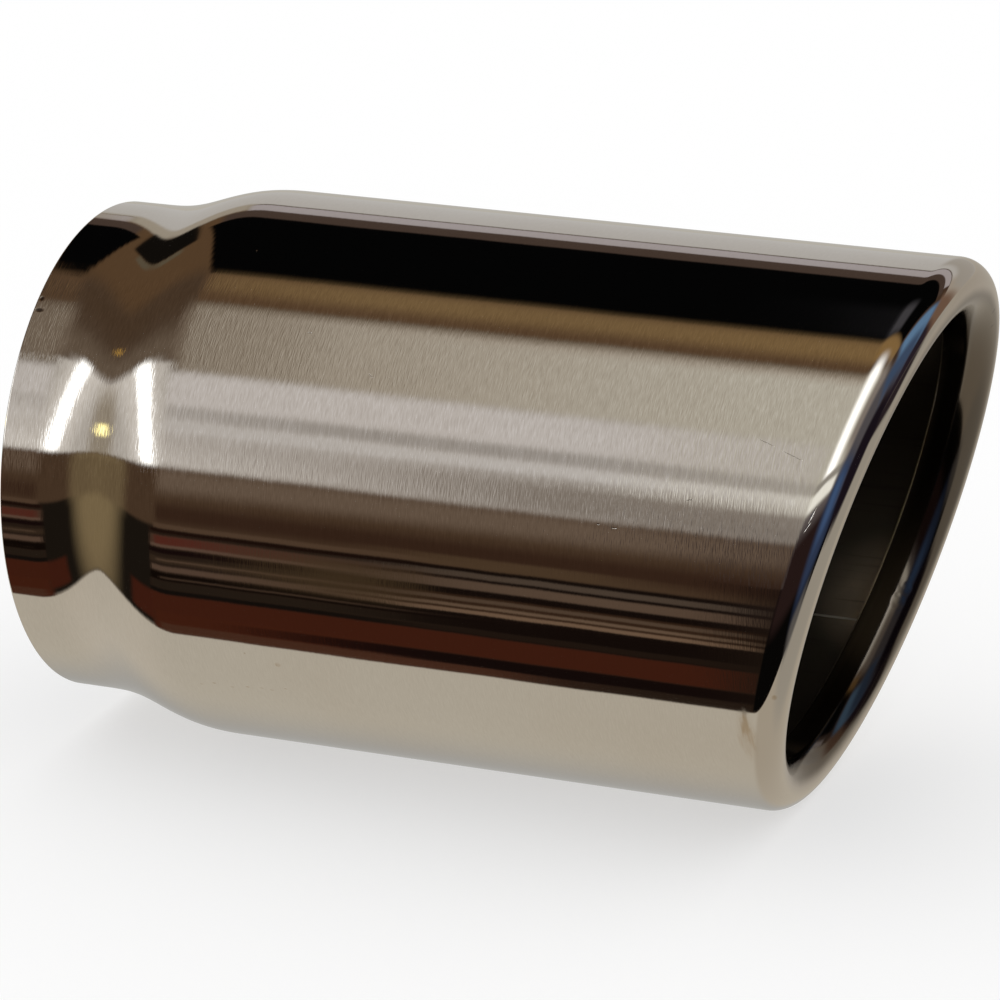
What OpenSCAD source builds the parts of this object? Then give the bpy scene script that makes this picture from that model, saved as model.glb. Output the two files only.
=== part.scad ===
// Slant-cut exhaust tip, formed from one welded tube of polished sheet.
// The tube's axis lies along X: the inlet's mouth is at x = 0, the outlet faces +X,
// and the long side of the slanted mouth is on top, at +Z. All sizes are in millimetres.

/* [Body] */
// Outside diameter of the straight body
body_d = 88.9; // [84:0.1:110]
// Thickness of the sheet
wall = 1.5; // [1:0.1:2.2]
// Length along the axis, from the inlet's mouth to the plane of the slanted mouth
body_length = 135; // [110:1:190]

/* [Inlet neck] */
// Inside diameter of the neck, which slides over the tail pipe
inlet_d = 77; // [62:0.1:80]
// Length of the straight neck
neck_length = 8.5; // [5:0.5:20]
// Outside radius of the waist, where the neck turns out into the flare
waist_r = 12; // [6:0.5:18]
// Outside radius of the shoulder, where the flare turns into the body
shoulder_r = 15.5; // [8:0.5:22]
// Slope of the flare's straight part, in degrees from the axis
flare_angle = 19.5; // [14:0.5:28]

/* [Slanted mouth] */
// Slant of the mouth, in degrees from a square cut
mouth_slant = 15; // [0:0.5:20]
// Outside radius of the rolled lip
lip_r = 4.3; // [3:0.1:6]
// Straight part of the lip, from the end of the roll to its free edge
lip_return = 3; // [1:0.5:7]

/* [Hidden] */
$fn = 96;

body_r = body_d / 2;
neck_r = inlet_d / 2 + wall;

// The flare: the neck's and the body's lines meet the sloped line at two corners,
// and an arc rounds each corner.
half_turn = tan(flare_angle / 2);
shoulder_x = neck_length + (waist_r + shoulder_r) * half_turn
    + (body_r - neck_r) / tan(flare_angle);

// The mouth: the crest of the lip is an ellipse in the slanted plane, where that plane
// cuts a cylinder of this radius.
crest_r = body_r - lip_r;
rise = tan(mouth_slant);
// The roll runs past its crest by this much before it is trimmed there
crest_spare = lip_r / 3;

// The plain tube ends here, a little short of the slant, on a whole millimetre
join_gap = 2;
join_x = floor(body_length - lip_r - body_r * rise - join_gap);

// How far trimming shapes reach past the face that they cut
reach = 5;
// Each rounding arc is this much too large, so that it crosses its two lines cleanly
arc_grip = 0.001;

// Half section of the plain tube, filled to the axis, with its wall's outer face moved
// in by `inset` and its ends moved out by `spare`. The section's X is the radius and
// its Y is the distance along the axis.
module filled_section(inset, spare) {
    neck = neck_r - inset;
    body = body_r - inset;
    waist = waist_r + inset;
    shoulder = shoulder_r - inset;
    outward = [cos(flare_angle), -sin(flare_angle)];
    waist_centre = [neck + waist, neck_length];
    shoulder_centre = [body - shoulder, shoulder_x];
    waist_tangent = waist_centre - waist * outward;
    shoulder_tangent = shoulder_centre + shoulder * outward;
    difference() {
        union() {
            polygon([
                [0, -spare],
                [neck, -spare],
                [neck, neck_length + waist * half_turn],
                [body, shoulder_x - shoulder * half_turn],
                [body, join_x + spare],
                [0, join_x + spare]
            ]);
            difference() {
                polygon([
                    [neck, neck_length],
                    [neck - reach, neck_length],
                    waist_tangent - reach * outward,
                    waist_tangent
                ]);
                translate(waist_centre) circle(waist + arc_grip);
            }
        }
        difference() {
            polygon([
                shoulder_tangent,
                shoulder_tangent + reach * outward,
                [body + reach, shoulder_x],
                [body, shoulder_x]
            ]);
            translate(shoulder_centre) circle(shoulder + arc_grip);
        }
    }
}

// Turns a half section round the part's axis
module revolved() {
    rotate([0, 90, 0]) rotate_extrude() children();
}

// Solid cylinder that the crest of the lip lies on
module crest_cylinder() {
    rotate([0, 90, 0]) cylinder(r = crest_r, h = body_length + 2 * body_r);
}

// Section of the roll, between two distances from its crest, measured along the radius.
// The slanted plane is at Y = 0.
module roll_section(from, to) {
    intersection() {
        translate([crest_r, -lip_r]) difference() {
            circle(lip_r);
            circle(lip_r - wall);
        }
        translate([crest_r + from, -lip_r]) square([to - from, 2 * lip_r]);
    }
}

// Neck, flare and body up to the join, with the slip bore through the neck
module plain_tube() {
    revolved() difference() {
        filled_section(0, 0);
        filled_section(wall, reach);
    }
}

// Rest of the body and the outer quarter of the roll. The shear along X keeps the body
// a true cylinder and lays the crest in the slanted plane.
module slanted_wall() {
    difference() {
        translate([body_length, 0, 0])
            multmatrix([[1, 0, rise, 0], [0, 1, 0, 0], [0, 0, 1, 0]])
                revolved() {
                    roll_section(-crest_spare, lip_r);
                    translate([body_r - wall, -body_length])
                        square([wall, body_length - lip_r]);
                }
        translate([join_x, 0, 0]) mirror([1, 0, 0])
            translate([0, -body_d, -body_d]) cube([body_length, 2 * body_d, 2 * body_d]);
        crest_cylinder();
    }
}

// Inner quarter of the roll and the straight return, which stand square to the slanted
// plane: their axis is that plane's normal, and they are stretched along its slope so
// that their crest is the same ellipse.
module folded_return() {
    intersection() {
        translate([body_length, 0, 0])
            multmatrix([
                [cos(mouth_slant), 0, rise, 0],
                [0, 1, 0, 0],
                [-sin(mouth_slant), 0, 1, 0]
            ])
                revolved() {
                    roll_section(-lip_r, crest_spare);
                    translate([crest_r - lip_r, -lip_r - lip_return])
                        square([wall, lip_return]);
                }
        crest_cylinder();
    }
}

module tip() {
    color([0.74, 0.72, 0.69]) {
        plain_tube();
        slanted_wall();
        folded_return();
    }
}

tip();
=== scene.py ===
"""Dressed model of a slant-cut exhaust tip: polished shell, weld seam, studio and camera."""

import logging
import math
from dataclasses import dataclass
from enum import Enum

import bpy
import numpy as np
from mathutils import Matrix, Vector

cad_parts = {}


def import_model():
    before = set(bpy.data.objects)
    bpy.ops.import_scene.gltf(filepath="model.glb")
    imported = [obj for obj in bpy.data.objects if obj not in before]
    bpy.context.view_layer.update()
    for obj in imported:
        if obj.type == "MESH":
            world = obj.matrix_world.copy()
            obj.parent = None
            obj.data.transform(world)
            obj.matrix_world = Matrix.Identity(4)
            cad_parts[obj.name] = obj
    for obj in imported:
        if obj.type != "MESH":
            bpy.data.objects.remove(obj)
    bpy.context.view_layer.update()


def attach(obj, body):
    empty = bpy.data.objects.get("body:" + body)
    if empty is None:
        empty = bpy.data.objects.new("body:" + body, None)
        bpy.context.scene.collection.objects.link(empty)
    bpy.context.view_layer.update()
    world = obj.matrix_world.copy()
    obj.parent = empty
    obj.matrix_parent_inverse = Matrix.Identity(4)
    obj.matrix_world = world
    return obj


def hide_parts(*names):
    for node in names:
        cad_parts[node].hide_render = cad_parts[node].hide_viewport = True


LOG = logging.getLogger("exhaust_tip")
WHITE = (1.0, 1.0, 1.0, 1.0)
STEEL_SHARE = (0.66, 0.62, 0.57)
Triple = tuple[float, float, float]
Socket = bpy.types.NodeSocket
ZERO: Triple = (0.0, 0.0, 0.0)

# Sizes that more than one part of the script needs
MM = 0.001
BODY_RADIUS = 44.45 * MM
BODY_LENGTH = 135.0 * MM
NECK_RADIUS = 40.0 * MM
WALL = 1.5 * MM
LIP_RADIUS = 4.3 * MM
MOUTH_SLANT = math.radians(15.0)


# Shader helpers
class Value:
    """A number socket of a shader tree, on which arithmetic adds Math nodes."""

    def __init__(self, graph: "ShaderGraph", socket: Socket) -> None:
        """Keeps the graph that new nodes go into, and the output socket that holds the number."""
        self.graph = graph
        self.socket = socket

    def _math(self, operation: str, first: "float | Value", second: "float | Value") -> "Value":
        """Adds one Math node on two numbers or values, by Blender's name of the operation."""
        made = self.graph.node("ShaderNodeMath", {"operation": operation}, {0: first, 1: second})
        return Value(self.graph, made.outputs[0])

    def __add__(self, other: "float | Value") -> "Value":
        """Self plus other."""
        return self._math("ADD", self, other)

    __radd__ = __add__

    def __sub__(self, other: "float | Value") -> "Value":
        """Self minus other."""
        return self._math("SUBTRACT", self, other)

    def __rsub__(self, other: "float | Value") -> "Value":
        """Other minus self."""
        return self._math("SUBTRACT", other, self)

    def __mul__(self, other: "float | Value") -> "Value":
        """Self times other."""
        return self._math("MULTIPLY", self, other)

    __rmul__ = __mul__

    def __truediv__(self, other: "float | Value") -> "Value":
        """Self divided by other."""
        return self._math("DIVIDE", self, other)

    def __pow__(self, other: "float | Value") -> "Value":
        """Self to the power of other."""
        return self._math("POWER", self, other)

    def larger(self, other: "float | Value") -> "Value":
        """The larger of self and other."""
        return self._math("MAXIMUM", self, other)

    def between(self, low: float, high: float) -> "Value":
        """Smooth step of self.

        Args:
            low: Where the result starts to leave 0.
            high: Where the result reaches 1; it may be below low for a falling step.

        Returns:
            A value from 0 to 1.
        """
        falling = high < low
        start, end = (high, low) if falling else (low, high)
        first, last = (1.0, 0.0) if falling else (0.0, 1.0)
        made = self.graph.node(
            "ShaderNodeMapRange",
            {"interpolation_type": "SMOOTHSTEP"},
            {"Value": self, "From Min": start, "From Max": end, "To Min": first, "To Max": last},
        )
        return Value(self.graph, made.outputs[0])


class ShaderGraph:
    """The node tree of one material or world."""

    def __init__(self, tree: bpy.types.NodeTree) -> None:
        """Empties the tree that is to be filled."""
        self.tree = tree
        tree.nodes.clear()
        self.coordinates: Socket | None = None

    def node(self, kind: str, settings: dict | None = None, sockets: dict | None = None) -> bpy.types.Node:
        """Adds any node.

        Args:
            kind: The node's type name.
            settings: Attributes that are set first.
            sockets: Inputs by name, identifier or place, each a number, a colour, a Value or a socket.

        Returns:
            The new node.
        """
        made = self.tree.nodes.new(kind)
        for name, setting in (settings or {}).items():
            setattr(made, name, setting)
        for key, value in (sockets or {}).items():
            target = self._input(made, key)
            source = value.socket if isinstance(value, Value) else value
            if isinstance(source, Socket):
                self.tree.links.new(source, target)
            else:
                target.default_value = source
        return made

    @staticmethod
    def _input(made: bpy.types.Node, key: str | int) -> Socket:
        """Finds an input socket by place, identifier or name."""
        if isinstance(key, int):
            return made.inputs[key]
        for socket in made.inputs:
            if socket.identifier == key:
                return socket
        return made.inputs[key]

    def object_point(self) -> Socket:
        """The point in the piece's own coordinates, in metres."""
        if self.coordinates is None:
            self.coordinates = self.node("ShaderNodeTexCoord").outputs["Object"]
        return self.coordinates

    def axes(self) -> tuple[Value, Value, Value]:
        """The point's x, y and z, in metres."""
        split = self.node("ShaderNodeSeparateXYZ", None, {0: self.object_point()})
        return tuple(Value(self, out) for out in split.outputs)

    def mapped(self, size: Triple, place: Triple = ZERO, turn: Triple = ZERO) -> Socket:
        """The point in a frame of its own.

        Args:
            size: The length of the frame's units along its axes, in metres.
            place: The frame's origin, in metres.
            turn: The frame's Euler turn, in radians.

        Returns:
            The vector socket.
        """
        made = self.node(
            "ShaderNodeMapping",
            {"vector_type": "TEXTURE"},
            {"Vector": self.object_point(), "Location": place, "Rotation": turn, "Scale": size},
        )
        return made.outputs[0]

    def reach(self, size: Triple, place: Triple, turn: Triple = ZERO) -> Value:
        """Distance from the middle of an ellipsoid, as a share of its radius in that direction.

        Args:
            size: The ellipsoid's half lengths, in metres.
            place: Its middle, in metres.
            turn: Its Euler turn, in radians.

        Returns:
            0 at the middle and 1 on the ellipsoid's surface.
        """
        point = self.mapped(size, place, turn)
        length = self.node("ShaderNodeVectorMath", {"operation": "LENGTH"}, {0: point})
        return Value(self, length.outputs["Value"])

    def noise(self, vector: Socket, scale: float, detail: float = 2.0, rough: float = 0.5) -> Value:
        """Noise from 0 to 1.

        Args:
            vector: Where the noise is read.
            scale: Waves per unit.
            detail: Finer layers that are added.
            rough: How strong the finer layers are.

        Returns:
            The noise as a value.
        """
        made = self.node(
            "ShaderNodeTexNoise",
            {"noise_dimensions": "3D"},
            {"Vector": vector, "Scale": scale, "Detail": detail, "Roughness": rough},
        )
        return Value(self, made.outputs[0])

    def grain(self, pitch: Triple, detail: float, rough: float = 0.5) -> Value:
        """Noise from 0 to 1 with a pitch of its own along each axis.

        Args:
            pitch: The pitch along x, y and z, in metres.
            detail: Finer layers, as for noise.
            rough: Their strength.

        Returns:
            The noise as a value.
        """
        return self.noise(self.mapped(pitch), 1.0, detail, rough)

    def mix(self, factor: Value, first: object, second: object) -> Socket:
        """Mixes two colours.

        Args:
            factor: The share of the second.
            first: The first colour, as four numbers or a socket.
            second: The second colour, likewise.

        Returns:
            The mixed colour.
        """
        made = self.node(
            "ShaderNodeMix",
            {"data_type": "RGBA", "clamp_factor": True},
            {"Factor_Float": factor, "A_Color": first, "B_Color": second},
        )
        return next(out for out in made.outputs if out.identifier == "Result_Color")

    def metal(
        self, colour: Socket, metallic: "float | Value", rough: Value, height: Value, depth: float
    ) -> None:
        """Ends the graph in a metal with a bump.

        Args:
            colour: Its reflectance.
            metallic: The share that is plain metal.
            rough: Its roughness.
            height: The height of the bump.
            depth: Metres per unit of height.
        """
        bump = self.node("ShaderNodeBump", None, {"Strength": 1.0, "Distance": depth, "Height": height})
        shader = self.node(
            "ShaderNodeBsdfPrincipled",
            None,
            {"Base Color": colour, "Metallic": metallic, "Roughness": rough, "Normal": bump.outputs[0]},
        )
        self.finish(shader)

    def finish(self, shader: bpy.types.Node, kind: str = "ShaderNodeOutputMaterial") -> None:
        """Joins a shader to the graph's output, of the kind for a material or a world."""
        self.node(kind, None, {"Surface": shader.outputs[0]})


def new_material(name: str) -> tuple[bpy.types.Material, ShaderGraph]:
    """A new material, and the graph of its emptied tree."""
    material = bpy.data.materials.new(name)
    material.use_nodes = True
    return material, ShaderGraph(material.node_tree)


def rgba(colour: Triple) -> tuple[float, float, float, float]:
    """A colour with full alpha."""
    return (*colour, 1.0)


# Finishes
class MarkKind(Enum):
    """The kinds of mark that handling and welding leave."""

    SCRATCH = "scratch"
    SPECK = "speck"
    DENT = "dent"
    STAIN = "stain"


@dataclass(frozen=True)
class Mark:
    """One small mark on the surface, as a soft ellipsoid.

    Attributes:
        along: Place along the axis, in millimetres from the inlet.
        around: Angle round the axis in degrees, 0 up and 90 towards +Y.
        radius: Distance from the axis, in millimetres.
        length, width: Half length and half width, in millimetres.
        lean: Turn of its length from the axis towards the girth, in degrees.
        depth: Half size across the surface, in millimetres.
    """

    along: float
    around: float
    radius: float
    length: float
    width: float
    lean: float = 0.0
    depth: float = 4.0

    def mask(self, graph: ShaderGraph) -> Value:
        """The mark's mask: one at its middle, falling to nothing at its half lengths."""
        angle = math.radians(self.around)
        lean = math.radians(self.lean)
        outward = Vector((0.0, math.sin(angle), math.cos(angle)))
        axis = Vector((1.0, 0.0, 0.0))
        first = axis * math.cos(lean) + outward.cross(axis) * math.sin(lean)
        turn = Matrix((first, outward.cross(first), outward)).transposed().to_euler()
        radius = self.radius * MM
        place = (self.along * MM, radius * math.sin(angle), radius * math.cos(angle))
        size = (self.length * MM, self.width * MM, self.depth * MM)
        return graph.reach(size, place, tuple(turn)).between(1.0, 0.3)


@dataclass(frozen=True)
class PolishedSteel:
    """Outer finish: buffed stainless steel with circumferential hairlines and a few handling marks, with
    painted sheen and shade on the hairlines and painted shade on the lip's inner half.

    Attributes:
        colour: Reflectance of the clean metal.
        warm: Reflectance where it has yellowed.
        bright_line, dark_line: Painted sheen and painted shade of the hairlines: tints that lighten the
            colour where the fine grain stands high and darken it where the grain lies low.
        line_share: Strength of both tints.
        lip_shade: Reflectance of the lip's inner half, made dark as painted shade where the roll turns in
            towards the tube.
        stained, sooty, scored: Tints of a stain, a speck and a scratch.
        roughness: The least roughness.
        hairline, streak, wave: Pitches of the fine and the broad hairlines and of the sheet's slow
            waves, along each axis; they and all the lengths below are in metres.
        hairline_depth, wave_depth: Depths of the hairlines and of the waves.
        mark_depth, speck_depth: Depths of a scratch or a dent, and of a speck.
        band: The y and z of the side that mirrors the pale ceiling and the lamps; the hairlines' bump and
            their painted sheen and shade are strongest where the surface faces that way.
        band_edge: Cosines from that direction between which they set in.
        band_rest: Strength of the others.
        plain_lip: Distances from the mouth's plane between which hairlines set in.
        lip_shade_end: Distances from that plane between which the painted shade ends.
        lip_shade_edge: Distances outside the roll's centre line between which it sets in.
        lip_shade_wobble: How uneven that edge is.
    """

    colour: Triple = (0.64, 0.60, 0.55)
    warm: Triple = (0.58, 0.52, 0.45)
    bright_line: Triple = (0.84, 0.80, 0.76)
    dark_line: Triple = (0.44, 0.39, 0.34)
    line_share: float = 0.36
    lip_shade: Triple = (0.165, 0.14, 0.115)
    stained: Triple = (0.44, 0.33, 0.22)
    sooty: Triple = (0.05, 0.035, 0.03)
    scored: Triple = (0.24, 0.2, 0.17)
    roughness: float = 0.03
    hairline: Triple = (0.0002, 0.0016, 0.0016)
    streak: Triple = (0.0008, 0.0040, 0.0040)
    wave: Triple = (0.030, 0.022, 0.022)
    hairline_depth: float = 0.000008
    wave_depth: float = 0.00006
    mark_depth: float = 0.00003
    speck_depth: float = 0.00002
    band: tuple[float, float] = (-0.829, 0.559)
    band_edge: tuple[float, float] = (0.875, 0.94)
    band_rest: float = 0.22
    plain_lip: tuple[float, float] = (0.002, 0.009)
    lip_shade_end: tuple[float, float] = (0.009, 0.006)
    lip_shade_edge: tuple[float, float] = (0.0006, -0.0014)
    lip_shade_wobble: float = 0.0003

    def build(self, name: str, marks: dict[MarkKind, list[Mark]]) -> bpy.types.Material:
        """Makes the material.

        Args:
            name: The material's name.
            marks: Lists of marks, one for each kind.

        Returns:
            The new material.
        """
        material, graph = new_material(name)
        x, y, z = graph.axes()
        radius = (y * y + z * z) ** 0.5
        to_mouth = BODY_LENGTH + math.tan(MOUTH_SLANT) * z - x
        facing = (self.band[0] * y + self.band[1] * z) / radius
        band = self.band_rest + (1.0 - self.band_rest) * facing.between(*self.band_edge)
        brushed_and_lit = to_mouth.between(*self.plain_lip) * band
        # Mask of the painted shade on the lip's inner half: near the mouth and inward of the roll's centre
        # line
        uneven = radius + self.lip_shade_wobble * graph.noise(graph.object_point(), 300.0)
        edge = [BODY_RADIUS - LIP_RADIUS + distance for distance in self.lip_shade_edge]
        inside = to_mouth.between(*self.lip_shade_end) * uneven.between(*edge)
        fine = graph.grain(self.hairline, 1.5)
        broad = graph.grain(self.streak, 2.0)
        wave = graph.grain(self.wave, 2.0, 0.45)
        cloud = graph.noise(graph.object_point(), 55.0, 3.0, 0.55)
        patch = graph.noise(graph.object_point(), 21.0)
        scratch, speck, dent, stain = (self._union(graph, marks[kind]) for kind in MarkKind)
        lines = (fine - 0.5) + 0.7 * (broad - 0.5)
        height = lines * brushed_and_lit * (0.6 + 0.6 * cloud.between(0.35, 0.7)) * self.hairline_depth
        height = height + wave * self.wave_depth - speck * self.speck_depth
        height = height - (scratch + dent) * self.mark_depth
        tint = graph.mix(patch.between(0.35, 0.7) * 0.4, rgba(self.colour), rgba(self.warm))
        # Painted sheen and painted shade: the fine grain lightens and darkens the colour, mostly on the
        # side that mirrors the lamps
        line_tint = brushed_and_lit * self.line_share
        tint = graph.mix(fine.between(0.5, 0.72) * line_tint, tint, rgba(self.bright_line))
        tint = graph.mix(fine.between(0.5, 0.28) * line_tint, tint, rgba(self.dark_line))
        # Painted shade: the lip's inner half is darkened
        tint = graph.mix(inside, tint, rgba(self.lip_shade))
        tint = graph.mix(stain * (0.24 + 0.6 * broad.between(0.4, 0.72)), tint, rgba(self.stained))
        tint = graph.mix(speck * 0.85, tint, rgba(self.sooty))
        tint = graph.mix(scratch * 0.35, tint, rgba(self.scored))
        rough = self.roughness + 0.018 * cloud + 0.05 * brushed_and_lit * fine.between(0.5, 0.8)
        graph.metal(tint, 1.0, rough + 0.2 * scratch + 0.1 * (stain + inside), height, 1.0)
        return material

    @staticmethod
    def _union(graph: ShaderGraph, marks: list[Mark]) -> Value:
        """The largest of the marks' masks."""
        total = marks[0].mask(graph)
        for mark in marks[1:]:
            total = total.larger(mark.mask(graph))
        return total


@dataclass(frozen=True)
class MillSteel:
    """Inner finish: dull tube as it came from the mill, with drawing lines; by default its colour is dark,
    as painted shade for the inside, and a warm patch by the seam is partly heat tint and partly painted
    light.

    Attributes:
        colour: Reflectance of the tube; its default is dark, as painted shade for the inside of the tube.
        tint_and_light_colour: Colour of the warm patch by the seam, partly heat tint and partly painted
            light.
        line: Tint of the drawing lines.
        pitch: Pitch of the drawing lines along each axis, in metres.
        roughness: The least roughness.
        tint_and_light_cover: How much of the metal the patch hides, so that its pale tint shows as a dull
            surface.
        depth: Depth of the drawing lines.
        tint_and_light_around: The patch's angle round the axis, in degrees.
            tint_and_light_place, tint_and_light_radius: Its place along the axis and its distance from it,
            in metres.
            tint_and_light_length, tint_and_light_width: Its half length and half width.
    """

    colour: Triple = (0.19, 0.17, 0.14)
    tint_and_light_colour: Triple = (0.98, 0.75, 0.50)
    line: Triple = (0.1, 0.09, 0.075)
    pitch: Triple = (0.02, 0.0006, 0.0006)
    roughness: float = 0.34
    tint_and_light_cover: float = 0.9
    depth: float = 0.000012
    tint_and_light_around: float = 124.5
    tint_and_light_place: float = 0.128
    tint_and_light_radius: float = 0.043
    tint_and_light_length: float = 0.020
    tint_and_light_width: float = 0.014

    def build(self, name: str) -> bpy.types.Material:
        """Makes the material.

        Args:
            name: The material's name.

        Returns:
            The new material.
        """
        material, graph = new_material(name)
        lines = graph.grain(self.pitch, 3.0, 0.6)
        cloud = graph.noise(graph.object_point(), 90.0, 4.0, 0.6)
        angle = math.radians(self.tint_and_light_around)
        place = (self.tint_and_light_place, self.tint_and_light_radius * math.sin(angle), self.tint_and_light_radius * math.cos(angle))
        near = graph.reach((self.tint_and_light_length, self.tint_and_light_width, self.tint_and_light_width), place).between(1.0, 0.1)
        # Warm patch by the seam: partly heat tint, partly painted light that brightens the inner wall there
        tint_and_light = near * (0.65 + 0.35 * cloud.between(0.3, 0.6))
        # The tube's dark colour is painted shade; the warm patch laid over it is partly painted light
        tint = graph.mix(tint_and_light, rgba(self.colour), rgba(self.tint_and_light_colour))
        tint = graph.mix(lines.between(0.55, 0.75) * 0.4, tint, rgba(self.line))
        rough = self.roughness + 0.15 * cloud
        graph.metal(tint, 1.0 - self.tint_and_light_cover * tint_and_light, rough, lines + 0.6 * cloud, self.depth)
        return material


# The tip
class FaceSlot(Enum):
    """The material slots of the shell's faces."""

    OUTSIDE = 0
    INSIDE = 1


@dataclass
class TipShell:
    """The rolled-lip tube as one closed skin with its wall.

    A point is a function of its place along the profile and its angle round the axis. The profile runs
    from the inlet rim over the neck, the waist, the cone, the shoulder and the body, round the lip's
    roll and its short return, over the cut edge and back along the inner face of the wall.

    Attributes:
        waist_start, waist_end: Where the neck starts to widen, and where it has the cone's tilt.
        shoulder_start, shoulder_end: Where that tilt starts to fall, and where the body starts.
        lip_return: Length of the return behind the roll.
        edge_round: Radius of the inlet rim's two corners.
        edge_bulge: How round the return's cut edge is, as a share of the wall.
        samples: Places at which the neck's and the flare's profile is summed.
        turns: Columns round the axis.
        barrel_steps, inner_steps: Steps along the body's outer and inner face.
        roll_steps, return_steps: Steps round the lip's roll and along its return.
        edge_steps: Points over the cut edge.
    """

    waist_start: float = 5.1 * MM
    waist_end: float = 18.7 * MM
    shoulder_start: float = 17.6 * MM
    shoulder_end: float = 31.4 * MM
    lip_return: float = 3.0 * MM
    edge_round: float = 0.2 * MM
    edge_bulge: float = 0.35
    samples: int = 400
    turns: int = 360
    barrel_steps: int = 41
    inner_steps: int = 13
    roll_steps: int = 43
    return_steps: int = 3
    edge_steps: int = 6

    def _revolved(self, inset: float) -> np.ndarray:
        """Profile from neck to body at a distance below the outer face.

        The tilt's tangent rises smoothly over the waist, holds over the cone and falls smoothly over the
        shoulder. The radius is the body's less the sum of that tangent from the point to the body, and an
        inner point lies the inset along the normal.

        Args:
            inset: Distance below the outer face, in metres.

        Returns:
            Pairs of axial place and radius, from the neck's start to the shoulder's end.
        """
        x = np.linspace(self.edge_round, self.shoulder_end, self.samples)
        up = smooth((x - self.waist_start) / (self.waist_end - self.waist_start))
        down = smooth((self.shoulder_end - x) / (self.shoulder_end - self.shoulder_start))
        shape = up * down
        total = np.concatenate([[0.0], np.cumsum((shape[1:] + shape[:-1]) / 2 * np.diff(x))])
        scale = (BODY_RADIUS - NECK_RADIUS) / total[-1]
        radius = NECK_RADIUS + total * scale
        tilt = np.arctan(shape * scale)
        # Three rings at the rim, a few on the straight neck, and close ones from the waist on
        last = self.samples - 1
        keep = np.concatenate([[0, 1, 2], np.arange(10, 50, 10), np.arange(54, last, 6), [last]])
        return np.column_stack([x + inset * np.sin(tilt), radius - inset * np.cos(tilt)])[keep]

    def _roll_frame(self, angle: np.ndarray) -> tuple[np.ndarray, np.ndarray, np.ndarray, np.ndarray]:
        """The lip's centre line and the two directions across it.

        The centre line is the slanted plane, moved back by the roll's radius, where it meets a cylinder
        of the body's radius less the roll's. Across it lie the mouth's own normal and the direction in
        the mouth's plane that is square to the centre line.

        Args:
            angle: Angles round the axis, 0 up, in radians.

        Returns:
            The centre points, the mouth's normal, the outward direction and the roll's starting angle.
        """
        rise = math.tan(MOUTH_SLANT)
        reach = BODY_RADIUS - LIP_RADIUS
        run = BODY_LENGTH - LIP_RADIUS / math.cos(MOUTH_SLANT) + rise * reach * np.cos(angle)
        centre = np.column_stack([run, reach * np.sin(angle), reach * np.cos(angle)])
        along = np.column_stack([-rise * np.sin(angle), np.cos(angle), -np.sin(angle)])
        along /= np.linalg.norm(along, axis=1)[:, None]
        normal = np.array([math.cos(MOUTH_SLANT), 0.0, -math.sin(MOUTH_SLANT)])
        outward = np.cross(along, normal)
        radial = np.column_stack([np.zeros_like(angle), np.sin(angle), np.cos(angle)])
        outward *= np.sign(np.sum(outward * radial, axis=1))[:, None]
        first = np.arctan2(radial @ normal, np.sum(radial * outward, axis=1))
        return centre, normal, outward, first

    def surface(self) -> tuple[np.ndarray, int]:
        """The whole skin.

        Returns:
            The points by place along the profile and by angle, and how many places lie outside.
        """
        angle = np.linspace(0.0, 2 * math.pi, self.turns, endpoint=False) + math.pi
        radial = np.column_stack([np.zeros_like(angle), np.sin(angle), np.cos(angle)])
        centre, normal, outward, first = self._roll_frame(angle)

        def revolve(pairs: np.ndarray) -> np.ndarray:
            """Turns pairs of place and radius round the axis."""
            points = pairs[:, 1][:, None, None] * radial[None]
            points[..., 0] = pairs[:, 0][:, None]
            return points

        def barrel(inset: float, shares: np.ndarray) -> np.ndarray:
            """Straight wall from the shoulder to where the roll starts."""
            points = np.repeat(((BODY_RADIUS - inset) * radial)[None], shares.size, axis=0)
            points[..., 0] = self.shoulder_end + shares[:, None] * (centre[:, 0] - self.shoulder_end)[None]
            return points

        def roll(radius: float, shares: np.ndarray) -> np.ndarray:
            """Roll: the centre plus the radius times cosine outwards and sine along the mouth's normal."""
            psi = first[None] + shares[:, None] * (math.pi - first)[None]
            return centre[None] + radius * (
                np.cos(psi)[..., None] * outward[None] + np.sin(psi)[..., None] * normal[None, None]
            )

        inner = LIP_RADIUS - WALL
        outer_end = centre - LIP_RADIUS * outward
        inner_end = centre - inner * outward
        shares = np.linspace(0, 1, self.roll_steps + 1)[1:]
        steps = np.linspace(0, 1, self.return_steps + 1)[1:, None, None]
        back = steps * (-self.lip_return * normal)[None, None]
        middle = (outer_end + inner_end) / 2 - self.lip_return * normal
        half = (outer_end - inner_end) / 2
        bend = np.radians(np.linspace(15, 165, self.edge_steps))[:, None, None]
        cut = middle[None] + half[None] * np.cos(bend)
        cut = cut - self.edge_bulge * WALL * np.sin(bend) * normal[None, None]
        # One more ring just before the roll keeps the body's shading straight up to it
        near_end = np.append(np.linspace(0, 1, self.barrel_steps + 1)[1:-1], [0.996, 1.0])
        outer = [
            revolve(self._revolved(0.0)),
            barrel(0.0, near_end),
            roll(LIP_RADIUS, shares),
            outer_end[None] + back,
        ]
        inner_parts = [
            cut,
            inner_end[None] + back[::-1],
            roll(inner, shares[::-1][::2]),
            barrel(WALL, np.linspace(1, 0, self.inner_steps + 1)),
            revolve(self._revolved(WALL)[::-1][1:]),
            revolve(self._rim()),
        ]
        return np.concatenate(outer + inner_parts), sum(len(part) for part in outer)

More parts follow.
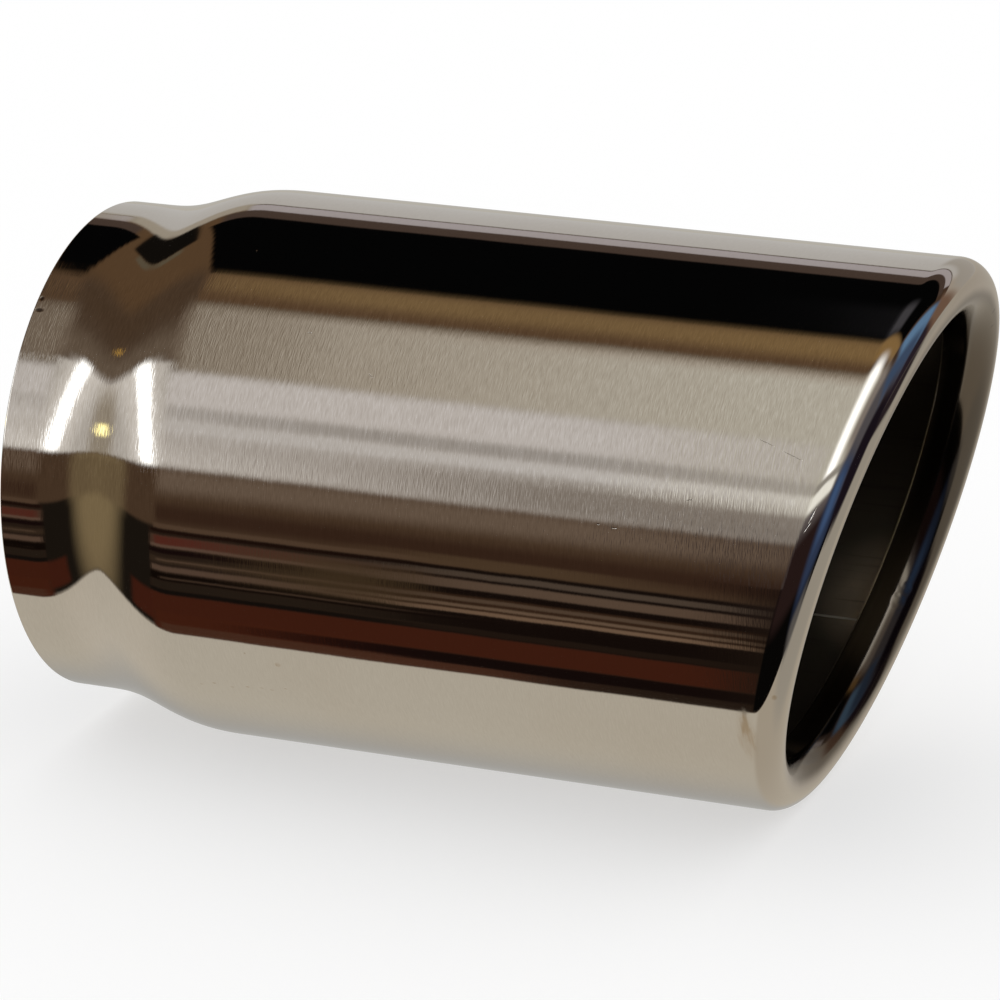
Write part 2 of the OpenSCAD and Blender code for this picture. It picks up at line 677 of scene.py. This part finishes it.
    def _rim(self) -> np.ndarray:
        """The inlet's cut edge: a flat ring with its two corners rounded, from the inner face outwards."""
        turn = np.linspace(0, math.pi / 2, 4)
        along, across = self.edge_round * np.sin(turn), self.edge_round * np.cos(turn)
        low = NECK_RADIUS - WALL + self.edge_round
        high = NECK_RADIUS - self.edge_round
        inner = np.column_stack([self.edge_round - along, low - across])[1:]
        outer = np.column_stack([self.edge_round - across, high + along])[:-1]
        return np.vstack([inner, outer])

    def build(self, name: str, outside: bpy.types.Material, inside: bpy.types.Material) -> bpy.types.Object:
        """Makes the shell.

        Args:
            name: The piece's name.
            outside: The finish of the outer face and the lip.
            inside: The finish of the inner face.

        Returns:
            The new object.
        """
        points, outer_rows = self.surface()
        shell = closed_grid(name, points)
        shell.data.materials.append(outside)
        shell.data.materials.append(inside)
        rows = np.repeat(np.arange(points.shape[0]), points.shape[1])
        inner = (rows >= outer_rows) & (rows < points.shape[0] - len(self._rim()))
        slots = np.where(inner, FaceSlot.INSIDE.value, FaceSlot.OUTSIDE.value)
        shell.data.polygons.foreach_set("material_index", slots.astype(np.int32))
        return shell


def smooth(share: np.ndarray) -> np.ndarray:
    """A step from 0 to 1 with level ends: three times the square less twice the cube."""
    held = np.clip(share, 0.0, 1.0)
    return held * held * (3.0 - 2.0 * held)


def add_object(name: str, data: bpy.types.ID) -> bpy.types.Object:
    """A new object in the scene, at the origin."""
    made = bpy.data.objects.new(name, data)
    bpy.context.scene.collection.objects.link(made)
    return made


def quad_mesh(name: str, points: np.ndarray, faces: np.ndarray) -> bpy.types.Mesh:
    """A smooth mesh of four-sided faces.

    Args:
        name: The mesh's name.
        points: Points, each with its x, y and z, in metres.
        faces: Four point numbers for each face.

    Returns:
        The new mesh.
    """
    mesh = bpy.data.meshes.new(name)
    mesh.vertices.add(points.size // 3)
    mesh.vertices.foreach_set("co", points.astype(np.float32).ravel())
    mesh.loops.add(faces.size)
    mesh.loops.foreach_set("vertex_index", faces.ravel().astype(np.int32))
    mesh.polygons.add(len(faces))
    mesh.polygons.foreach_set("loop_start", np.arange(0, faces.size, 4, dtype=np.int32))
    mesh.polygons.foreach_set("use_smooth", np.ones(len(faces), dtype=bool))
    mesh.update(calc_edges=True)
    mesh.validate()
    return mesh


def ring_faces(rings: int, columns: int) -> np.ndarray:
    """Four point numbers for each face between neighbouring rings of so many columns."""
    index = np.arange(rings * columns).reshape(rings, columns)
    beside = np.roll(index, -1, axis=1)
    return np.stack([index[:-1], index[1:], beside[1:], beside[:-1]], axis=-1).reshape(-1, 4)


def closed_grid(name: str, points: np.ndarray) -> bpy.types.Object:
    """A closed skin on a grid that joins up both ways.

    Each face takes a point, its neighbour along the profile, the one after both, and its neighbour round
    the axis. The faces are turned over where the volume that they enclose comes out negative.

    Args:
        name: The new object's name.
        points: Points by row and column, in metres.

    Returns:
        The new object.
    """
    rows, columns = points.shape[:2]
    index = np.arange(rows * columns).reshape(rows, columns)
    below = np.roll(index, -1, axis=0)
    beside = np.roll(index, -1, axis=1)
    across = np.roll(below, -1, axis=1)
    faces = np.stack([index, below, across, beside], axis=-1).reshape(-1, 4)
    flat = points.reshape(-1, 3)
    a, b, c, d = (flat[faces[:, k]] for k in range(4))
    volume = np.sum(np.cross(a, b) * c) + np.sum(np.cross(a, c) * d)
    if volume < 0:
        faces = faces[:, ::-1]
    return add_object(name, quad_mesh(name, flat, faces))


@dataclass
class WeldSeam:
    """The tube's lengthwise weld, a low bead on the inner wall.

    Attributes:
        around: Its angle round the axis, in radians.
        inner_radius: Radius of the wall that it lies on, in metres.
        height, half_width: How far it stands proud, and half its width.
        start, end: Where it starts and ends, in metres from the inlet.
        rings, columns: Rings along it, and points on each.
        ripples: Its uneven height, as waves with a share, an angle over the length and a first angle.
    """

    around: float = math.radians(129.4)
    inner_radius: float = BODY_RADIUS - WALL
    height: float = 0.09 * MM
    half_width: float = 0.2 * MM
    start: float = 34.0 * MM
    end: float = 120.0 * MM
    rings: int = 160
    columns: int = 20
    ripples: tuple[Triple, ...] = ((0.18, 460.0, 0.0), (0.12, 173.0, 1.0))

    def build(self, name: str, finish: bpy.types.Material) -> bpy.types.Object:
        """Makes the bead.

        Its section is an ellipse: the cosine of an angle times the half width across, and the sine times
        the height upwards, so that its lower half lies inside the wall. Both ends taper by a square root.

        Args:
            name: The piece's name.
            finish: The bead's material.

        Returns:
            The new object.
        """
        along = np.linspace(0, 1, self.rings)
        taper = np.sqrt(np.clip(1 - np.abs(2 * along - 1) ** 24, 1e-4, 1))
        ring = np.linspace(0, 2 * math.pi, self.columns, endpoint=False)
        across = np.cos(ring)[None] * self.half_width * taper[:, None]
        ripple = 1 + sum(share * np.sin(along * waves + first) for share, waves, first in self.ripples)
        lift = np.sin(ring)[None] * self.height * (taper * ripple)[:, None]
        radius = self.inner_radius - lift
        angle = self.around + across / self.inner_radius
        x = self.start + along[:, None] * (self.end - self.start) + 0 * across
        points = np.stack([x, radius * np.sin(angle), radius * np.cos(angle)], axis=-1)
        made = capped_tube(name, points)
        made.data.materials.append(finish)
        return made


def capped_tube(name: str, points: np.ndarray) -> bpy.types.Object:
    """A tube of rings with a face on each end.

    Args:
        name: The new object's name.
        points: Points by ring and by place on the ring.

    Returns:
        The new object.
    """
    rings, columns = points.shape[:2]
    faces = ring_faces(rings, columns)
    flat = points.reshape(-1, 3)
    middle = points.mean(axis=1)[rings // 2]
    a, b, c = (flat[faces[:, k]] for k in range(3))
    outward = np.sum(np.cross(b - a, c - a) * (a - middle))
    ends = [list(range(columns)), list(range(rings * columns))[:-columns - 1:-1]]
    if outward < 0:
        faces = faces[:, ::-1]
        ends = [end[::-1] for end in ends]
    mesh = bpy.data.meshes.new(name)
    mesh.from_pydata(flat.tolist(), [], faces.tolist() + ends)
    mesh.polygons.foreach_set("use_smooth", np.ones(len(mesh.polygons), dtype=bool))
    mesh.update()
    return add_object(name, mesh)


# Studio
def seen(tone: tuple[int, int, int]) -> np.ndarray:
    """The linear brightness of a card that shows in the steel as a screen tone of 0 to 255.

    The tone goes through the standard sRGB curve and is divided by the share that the steel gives back.
    """
    share = np.array(tone) / 255.0
    linear = np.where(share > 0.04045, ((share + 0.055) / 1.055) ** 2.4, share / 12.92)
    return linear / np.array(STEEL_SHARE)


@dataclass(frozen=True)
class Card:
    """One reflection card, given by the directions that it fills.

    Attributes:
        low, high: Its long edges as angles round the axis in degrees, 0 towards -Y and 90 up.
        left, right: Its ends towards -X and +X, as the x of a unit direction.
        tone: The tone that it gives in the steel, from 0 to 255.
        soft, fade: How far its long edges fade, in degrees, and its ends, in x.
        gain: Times brighter than the tone.
        lean: How far its ends move towards -X per degree above its middle, in x.
    """

    low: float
    high: float
    left: float
    right: float
    tone: tuple[int, int, int]
    soft: float = 1.0
    fade: float = 0.012
    gain: float = 1.0
    lean: float = 0.0


CARDS: tuple[Card, ...] = (
    # Pale table and pale wall behind
    Card(-181, -61, -1.1, 1.1, (170, 161, 145), 0.7),
    Card(-125, -55, -0.8, -0.52, (175, 165, 149), 34, 0.26),
    Card(-175, -118, -1.1, 0.2, (148, 143, 135), 44),
    Card(-181, -61, -0.1, 1.1, (158, 147, 130), 0.7, 0.2),
    Card(-181, -61, 0.52, 1.1, (146, 138, 125), 0.7, 0.2),
    Card(156.5, 181, -1.1, 1.1, (166, 160, 152)),
    Card(156.5, 181, 0.3, 1.1, (150, 138, 124), 1, 0.2),
    Card(152, 181, 0.52, 1.1, (104, 80, 64), 6, 0.14),
    Card(150, 181, 0.74, 1.1, (38, 30, 36), 8, 0.08),
    Card(-181, -158, 0.74, 1.1, (40, 32, 34), 8, 0.1),
    Card(-181, -152, -0.22, 0.52, (148, 138, 124), 10, 0.12),
    Card(162, 181, -0.22, 0.46, (146, 138, 127), 8, 0.12),
    # Brown wall past the inlet
    Card(98, 151, -0.93, -0.44, (82, 61, 41), 6, 0.02),
    Card(58, 100, -0.97, -0.42, (72, 57, 44), 14, 0.05),
    Card(84, 103, -0.97, -0.46, (68, 52, 38), 18, 0.06),
    Card(58, 74, -0.97, -0.4, (94, 80, 66), 16, 0.08),
    Card(57, 84, -0.5, -0.39, (106, 92, 78), 14, 0.05),
    Card(150, 158, -0.66, -0.44, (145, 134, 118), 3, 0.03),
    Card(133, 151, -0.77, -0.6, (15, 12, 9), 3, 0.025),
    Card(129, 133, -0.74, -0.66, (84, 74, 58), 2, 0.03),
    # Black flag with its thin lit edge
    Card(149, 155.6, -0.44, 0.42, (152, 143, 140), 0.7),
    Card(141, 149, -0.52, 0.5, (66, 53, 45), 1.5, 0.04),
    Card(101.2, 142, -0.5, -0.1, (4, 4, 4), 1.4, 0.015, 1, 0.003),
    Card(101.2, 143, -0.2, 0.55, (4, 4, 4), 1.4, 0.04),
    Card(104, 123, -0.22, 0.14, (62, 60, 62), 10, 0.16),
    # Warm strip, stronger at the lip
    Card(86, 101.2, -0.45, 0.58, (84, 63, 44), 2.5, 0.02),
    Card(91.5, 101.2, -0.42, 0.58, (112, 89, 59), 8, 0.04),
    Card(91, 101.6, -0.26, 0.56, (126, 98, 60), 7, 0.14),
    # Pale ceiling, brighter towards the mouth
    Card(12.5, 86, -0.45, 0.8, (100, 86, 70), 4, 0.03),
    Card(14, 84, -0.418, 0.78, (156, 145, 130), 6, 0.09),
    Card(14, 81, -0.33, 0.6, (178, 172, 158), 6, 0.16),
    Card(32, 88, -0.05, 0.34, (255, 252, 246), 16, 0.34, 1.45),
    Card(13, 53, -0.48, -0.29, (172, 165, 158), 6.5, 0.03),
    Card(39, 52.4, -0.48, -0.3, (187, 180, 174), 5, 0.06),
    Card(33.6, 38.2, -0.42, -0.3, (150, 143, 136), 3.4, 0.1),
    Card(27.5, 32.5, -0.42, -0.3, (183, 177, 171), 2.4, 0.1),
    Card(13, 26.3, -0.48, -0.28, (161, 153, 145), 7, 0.04),
    Card(13, 26.3, -0.36, -0.28, (122, 112, 102), 8, 0.06),
    Card(32.5, 37, -0.27, 0.8, (140, 134, 124), 3, 0.1),
    Card(24, 32, -0.27, 0.6, (232, 228, 216), 3, 0.14),
    Card(-20, 24, -0.27, 0.95, (92, 84, 82), 6, 0.06),
    Card(45, 90, 0.5, 1.1, (126, 116, 108), 14, 0.16),
    Card(30, 104, 0.72, 1.1, (78, 74, 76), 12, 0.14),
    # Bright lamps past the inlet
    Card(12, 58, -1, -0.47, (172, 165, 156), 3, 0.03),
    Card(12, 58, -1, -0.87, (140, 129, 113), 3, 0.05),
    Card(12, 60, -0.8, -0.5, (204, 197, 188), 8, 0.16, 1, 0.0038),
    Card(14, 60, -0.692, -0.584, (255, 255, 252), 9, 0.06, 2.3, 0.0038),
    Card(24.5, 32, -1, -0.896, (252, 236, 160), 4, 0.012, 2.2),
    Card(78, 82.5, -0.9, -0.866, (190, 146, 64), 2, 0.008, 1.3),
    # Brown room below the lamps
    Card(-12.5, 12.5, -1.1, -0.28, (68, 51, 37), 3, 0.02),
    Card(3, 12.5, -0.46, -0.28, (98, 82, 68), 7, 0.02),
    Card(-10, -2, -0.46, -0.28, (51, 34, 24), 6, 0.02),
    Card(-60, -12, -0.86, -0.46, (24, 19, 14), 2.5, 0.02),
    Card(-57, -42, -0.66, -0.46, (58, 26, 16), 3, 0.05),
    Card(-60, 12, -1, -0.785, (116, 99, 71), 4, 0.15),
    Card(-14, 11, -0.93, -0.76, (98, 82, 59), 8, 0.16),
    # Shelf edges
    Card(-61, -12.5, -0.5, -0.288, (36, 26, 19), 1.2, 0.006),
    Card(-20.6, -15.5, -0.49, -0.29, (66, 48, 37), 0.9, 0.006),
    Card(-20.2, -15.8, -0.465, -0.405, (76, 36, 27), 1.4, 0.03),
    Card(-20.6, -19.4, -0.48, -0.29, (86, 66, 54), 0.7, 0.006),
    Card(-23.3, -21.3, -0.5, -0.29, (19, 9, 8), 0.8, 0.006),
    Card(-27.6, -25, -0.5, -0.29, (48, 36, 26), 0.9, 0.006),
    Card(-26.6, -25.8, -0.46, -0.29, (74, 57, 44), 0.5, 0.006),
    Card(-31.3, -28.9, -0.48, -0.29, (80, 62, 50), 1, 0.006),
    Card(-35.6, -32, -0.5, -0.29, (14, 8, 5), 0.8, 0.006),
    Card(-34.6, -33.8, -0.44, -0.29, (58, 44, 34), 0.5, 0.006),
    Card(-39.2, -36, -0.48, -0.29, (34, 26, 19), 1, 0.006),
    Card(-32, -17, -0.392, -0.372, (68, 53, 35), 5, 0.016),
    Card(-41.8, -39.6, -0.5, -0.29, (17, 13, 10), 0.8, 0.006),
    Card(-51.6, -41.8, -0.5, -0.29, (59, 27, 16), 1.2, 0.006),
    Card(-61, -51, -0.5, -0.37, (61, 28, 16), 1.2, 0.05),
    Card(-56.2, -52, -0.395, -0.29, (26, 12, 9), 1.2, 0.03),
    Card(-61, -56.6, -0.46, -0.34, (66, 40, 28), 0.9, 0.03),
    Card(-12.6, -10.6, -0.47, -0.355, (76, 58, 44), 0.8, 0.02),
    Card(-14.4, -12.9, -0.49, -0.355, (24, 12, 8), 0.8, 0.02),
    # The same shelf nearer to the mouth, where its lit edges come closer together
    Card(-12.7, -8.2, -0.37, -0.32, (72, 55, 39), 1.5, 0.03),
    Card(-38.8, -12.9, -0.37, -0.29, (18, 11, 8), 0.8, 0.03),
    Card(-16.7, -14.4, -0.37, -0.29, (72, 60, 50), 0.7, 0.03),
    Card(-21.6, -18, -0.37, -0.29, (84, 67, 54), 0.8, 0.03),
    Card(-31, -24.3, -0.37, -0.29, (47, 31, 20), 0.8, 0.03),
    Card(-26.8, -25.2, -0.37, -0.29, (78, 62, 49), 0.6, 0.03),
    Card(-29.5, -28.2, -0.37, -0.29, (96, 77, 61), 0.6, 0.03),
    Card(-32.1, -30.5, -0.37, -0.29, (106, 84, 66), 0.6, 0.03),
    Card(-41.2, -38.8, -0.37, -0.29, (30, 21, 15), 0.7, 0.03),
    Card(-57, -52, -0.37, -0.29, (18, 10, 8), 0.9, 0.03),
    # Dark room past the mouth, with two cool windows
    Card(-60.5, -5, -0.288, 1.1, (7, 6, 5), 1, 0.006),
    Card(-24, 16, -0.27, 0.7, (36, 24, 22), 14, 0.08),
    Card(-66, -42, 0.62, 0.84, (84, 80, 76), 14, 0.14),
    Card(104, 152, 0.6, 0.84, (88, 116, 144), 12, 0.08),
    Card(88, 150, 0.76, 0.93, (58, 72, 94), 18, 0.12),
    Card(-38, 38, 0.62, 0.97, (44, 54, 76), 28, 0.22),
    Card(-8, 30, 0.72, 0.9, (60, 80, 112), 26, 0.16),
    Card(-181, 181, 0.95, 1.1, (24, 18, 24), 1, 0.05),
)


@dataclass
class CardTent:
    """The soft cards round the object, as one painted ball that only reflections see.

    Attributes:
        radius: The ball's radius, in metres.
        pole: Latitude of its last rings, in degrees.
        rings, steps: Rings from end to end, and points on each.
        plain: The tone where no card lies.
        cards: The cards, in the order of painting.
    """

    radius: float = 6.0
    pole: float = 89.9
    rings: int = 200
    steps: int = 1080
    plain: tuple[int, int, int] = (62, 46, 34)
    cards: tuple[Card, ...] = CARDS

    def build(self, name: str) -> bpy.types.Object:
        """Makes the ball.

        A point is the radius times its x and, across the axis, the root of one less the square of x,
        turned by its angle.

        Args:
            name: The object's name.

        Returns:
            The new object.
        """
        places = np.sin(np.linspace(-1, 1, self.rings) * math.radians(self.pole))
        angles = np.linspace(-180.0, 180.0, self.steps, endpoint=False)
        x, angle = np.meshgrid(places, angles, indexing="ij")
        across = np.sqrt(1 - x**2)
        turn = np.radians(angle)
        points = self.radius * np.stack([x, -across * np.cos(turn), across * np.sin(turn)], axis=-1)
        mesh = quad_mesh(name, points, ring_faces(self.rings, self.steps))
        light = np.concatenate([self._paint(angle, x), np.ones((*x.shape, 1))], axis=-1)
        attribute = mesh.attributes.new("light", "FLOAT_COLOR", "POINT")
        attribute.data.foreach_set("color", light.astype(np.float32).ravel())
        material, graph = new_material(name)
        material.cycles.emission_sampling = "NONE"
        read = graph.node("ShaderNodeAttribute", {"attribute_name": "light"})
        graph.finish(graph.node("ShaderNodeEmission", None, {"Color": read.outputs["Color"]}))
        mesh.materials.append(material)
        tent = add_object(name, mesh)
        tent.visible_camera = False
        tent.visible_diffuse = False
        tent.visible_shadow = False
        tent.visible_transmission = False
        return tent

    def _paint(self, angle: np.ndarray, x: np.ndarray) -> np.ndarray:
        """Lays the cards over each other in their order, each by the product of four smooth steps.

        Args:
            angle: Angles round the axis, in degrees.
            x: Places along the axis, as the x of unit directions.

        Returns:
            The linear red, green and blue at each point.
        """
        light = np.zeros((*angle.shape, 3)) + seen(self.plain)
        for card in self.cards:
            place = x + card.lean * (angle - (card.low + card.high) / 2)
            share = smooth((angle - card.low) / card.soft + 0.5)
            share = share * smooth((card.high - angle) / card.soft + 0.5)
            share = share * smooth((place - card.left) / card.fade + 0.5)
            share = share * smooth((card.right - place) / card.fade + 0.5)
            light += share[..., None] * (seen(card.tone) * card.gain - light)
        return light


@dataclass
class Studio:
    """Floor, surround and cards.

    Attributes:
        floor_z: The floor's height, in metres.
        floor_size: Half its length, in metres.
        floor_lift: The share of plain white that lifts its tone for the camera.
    """

    floor_z: float = -BODY_RADIUS
    floor_size: float = 30.0
    floor_lift: float = 0.55

    def build(self) -> None:
        """Makes the floor, the world and the cards."""
        self._world()
        self._floor()
        CardTent().build("card_tent")

    def _world(self) -> None:
        """A plain white surround."""
        world = bpy.data.worlds.new("surround")
        world.use_nodes = True
        graph = ShaderGraph(world.node_tree)
        graph.finish(graph.node("ShaderNodeBackground", None, {"Color": WHITE}), "ShaderNodeOutputWorld")
        bpy.context.scene.world = world

    def _floor(self) -> None:
        """A pale floor that the tip rests on."""
        half = self.floor_size
        corners = [(-half, -half), (half, -half), (half, half), (-half, half)]
        mesh = bpy.data.meshes.new("floor")
        mesh.from_pydata([(*corner, self.floor_z) for corner in corners], [], [(0, 1, 2, 3)])
        material, graph = new_material("floor_white")
        pale = graph.node("ShaderNodeBsdfDiffuse", None, {"Color": WHITE})
        white = graph.node("ShaderNodeEmission", None, {"Color": WHITE})
        path = graph.node("ShaderNodeLightPath")
        kinds = ("Is Camera Ray", "Is Glossy Ray", "Is Transmission Ray")
        rays = [Value(graph, path.outputs[kind]) for kind in kinds]
        share = rays[0].larger(rays[1]).larger(rays[2]) * self.floor_lift
        parts = {0: share, 1: pale.outputs[0], 2: white.outputs[0]}
        graph.finish(graph.node("ShaderNodeMixShader", None, parts))
        mesh.materials.append(material)
        floor = add_object("floor", mesh)
        floor.visible_glossy = False


@dataclass
class PhotoCamera:
    """A long-lens camera at the photograph's angle.

    Attributes:
        azimuth: Turn from -Y towards +X, in radians.
        elevation: Height above the level, in radians.
        roll: Turn about the line of sight, in radians.
        distance: Distance from the target, in metres.
        lens, sensor: Focal length and the sensor's width, in millimetres.
        far: The farthest distance that is drawn, in metres.
        target: The point that it looks at.
    """

    azimuth: float = math.radians(22.74)
    elevation: float = math.radians(19.04)
    roll: float = math.radians(-0.76)
    distance: float = 779.8 * MM
    lens: float = 175.42
    sensor: float = 36.0
    far: float = 100.0
    target: Triple = (68.81 * MM, 0.0, -1.67 * MM)

    def build(self) -> bpy.types.Object:
        """Makes the camera.

        Its back points from the target to it: the cosine and sine of the azimuth on the floor, lifted by
        the elevation, and the roll turns its right and up about that line.

        Returns:
            The camera.
        """
        level = math.cos(self.elevation)
        side, ahead = math.sin(self.azimuth) * level, math.cos(self.azimuth) * level
        back = Vector((side, -ahead, math.sin(self.elevation)))
        right = (-back).cross(Vector((0.0, 0.0, 1.0))).normalized()
        up = right.cross(-back)
        turned = right * math.cos(self.roll) + up * math.sin(self.roll)
        lifted = up * math.cos(self.roll) - right * math.sin(self.roll)
        place = Vector(self.target) + self.distance * back
        data = bpy.data.cameras.new("photo_camera")
        data.sensor_width = self.sensor
        data.sensor_fit = "HORIZONTAL"
        data.lens = self.lens
        data.clip_end = self.far
        camera = add_object("photo_camera", data)
        turn = Matrix((turned, lifted, back)).transposed().to_4x4()
        camera.matrix_world = Matrix.Translation(place) @ turn
        bpy.context.scene.camera = camera
        return camera


def handling_marks() -> dict[MarkKind, list[Mark]]:
    """The few scratches, specks, dents and stains on the outer face."""
    body, neck = BODY_RADIUS / MM, NECK_RADIUS / MM
    dotted = [(32.9, -123.8), (35.3, -122.8), (38.3, -123.3), (41.2, -122.5)]
    dotted += [(43.7, -122.2), (45.4, -122.4), (48.0, -121.3)]
    return {
        MarkKind.SCRATCH: [
            Mark(62, -50, body, 0.6, 0.07, 150),
            Mark(50, -42.2, body, 0.5, 0.06, 5),
            Mark(105.1, -74.2, body, 0.45, 0.1, 0),
            Mark(116.4, -67.1, body, 0.6, 0.07, 15),
            Mark(126.6, -54.3, body, 1.7, 0.035, -18.6),
            Mark(131, -56.3, body, 2.2, 0.035, -18.6),
            Mark(135.5, -67.2, 44.3, 1.6, 0.12, 70),
            Mark(135, -69.5, 44.4, 1.2, 0.09, 62),
        ],
        MarkKind.SPECK: [
            Mark(0.7, -37.4, neck, 0.5, 0.6),
            Mark(1, -40.5, neck, 1, 0.5),
            Mark(102.5, -73.8, body, 0.22, 0.12),
            Mark(35.2, -22.5, body, 0.14, 0.14),
            Mark(143.3, 36.1, 38.6, 0.3, 0.35),
            Mark(142.2, 42.9, 38, 0.28, 0.3),
        ],
        MarkKind.DENT: [
            Mark(126.2, 126.3, 36.4, 1.3, 1.5),
            Mark(127.2, 122.9, 36.6, 1.1, 1.4),
        ],
        MarkKind.STAIN: [
            Mark(125.2, -116, body, 1.9, 7),
            Mark(125.4, -112, body, 0.7, 4.5),
            Mark(130.2, -105.6, 43.8, 0.5, 0.7),
            Mark(48, -114.1, body, 0.8, 0.6),
            Mark(42.6, -112.1, body, 0.25, 0.25),
            *(Mark(x, around, body, 0.45, 0.14) for x, around in dotted),
        ],
    }


def main() -> None:
    """Builds the tip, the studio and the camera, and logs the face counts."""
    logging.basicConfig(level=logging.INFO, format="%(message)s")
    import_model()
    outside = PolishedSteel().build("polished_steel", handling_marks())
    inside = MillSteel().build("mill_steel")
    shell = TipShell().build("tip_shell", outside, inside)
    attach(shell, "root")
    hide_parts("tip")
    LOG.info("shell: %d faces", len(shell.data.polygons))
    # The bead's steel is a pale copy of the inner steel: partly its own colour, partly painted light that
    # brings the seam out in the dark tube
    bead = MillSteel(
        colour=(0.80, 0.75, 0.65), tint_and_light_colour=(0.86, 0.80, 0.68), roughness=0.3, tint_and_light_cover=0.8, tint_and_light_around=129.4
    ).build("bead_steel")
    seam = WeldSeam().build("weld_seam", bead)
    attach(seam, "root")
    LOG.info("weld seam: %d faces", len(seam.data.polygons))
    Studio().build()
    PhotoCamera().build()
    bpy.context.scene.view_settings.view_transform = "Standard"
    LOG.info("sizes written")


if __name__ == "__main__":
    main()
